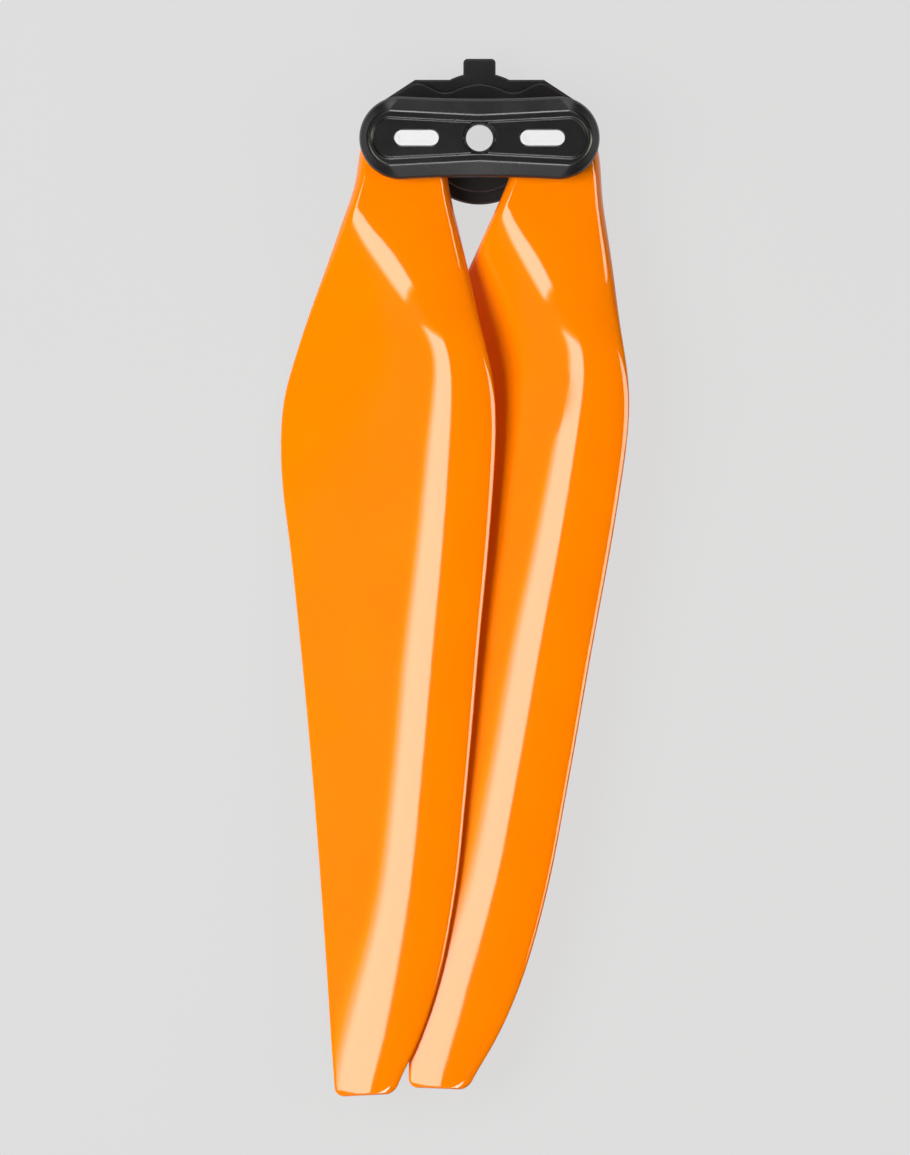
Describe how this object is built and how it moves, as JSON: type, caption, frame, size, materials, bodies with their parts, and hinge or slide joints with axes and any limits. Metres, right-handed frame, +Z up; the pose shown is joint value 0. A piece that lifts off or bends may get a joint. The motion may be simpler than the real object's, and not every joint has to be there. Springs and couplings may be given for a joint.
{
  "type": "folding drone propeller",
  "caption": "Folding quick-release propeller: twin blades pivot in a waisted bar hub with a central shaft bore and a bayonet ring with an index tab.",
  "frame": {"origin": "on the motor axis, at the bottom face of the bayonet ring", "axes": "+Z up along the motor axis towards the top cover; the blades fold to lie along -Y; the index tab points to +Y; the leading edge of each folded blade is on its +X side"},
  "size_m": [0.0402, 0.1195, 0.0136],
  "materials": {
    "blade": "glossy moulded nylon, bright orange",
    "cover": "satin black moulded plastic",
    "base": "matte black glass-filled plastic",
    "marker": "white inlay",
    "steel": "stainless steel, turned",
    "sleeve": "dark anodised aluminium",
    "brass": "brass, knurled",
    "washer": "low-friction plastic film"
  },
  "bodies": {
    "hub": {"bayonet_ring": "base", "hub_base": "base", "lower_washer_left": "washer", "lower_washer_right": "washer", "marker_left": "marker", "marker_right": "marker", "pivot_screw_left": "steel", "pivot_screw_right": "steel", "pivot_sleeve_left": "steel", "pivot_sleeve_right": "steel", "ring_screws_back": "steel", "ring_screws_front": "steel", "shaft_sleeve": "sleeve", "threaded_insert_left": "brass", "threaded_insert_right": "brass", "top_cover": "cover", "upper_washer_left": "washer", "upper_washer_right": "washer"},
    "blade_left": {"blade_left": "blade"},
    "blade_right": {"blade_right": "blade"}
  },
  "joints": [
    {"name": "blade_left_fold", "type": "hinge", "parent": "hub", "child": "blade_left", "pos_m": [-0.00906, 0, 0.0083], "axis": [0, 0, -1], "range_deg": [0, 135]},
    {"name": "blade_right_fold", "type": "hinge", "parent": "hub", "child": "blade_right", "pos_m": [0.00906, 0, 0.0083], "axis": [0, 0, 1], "range_deg": [0, 135]}
  ]
}
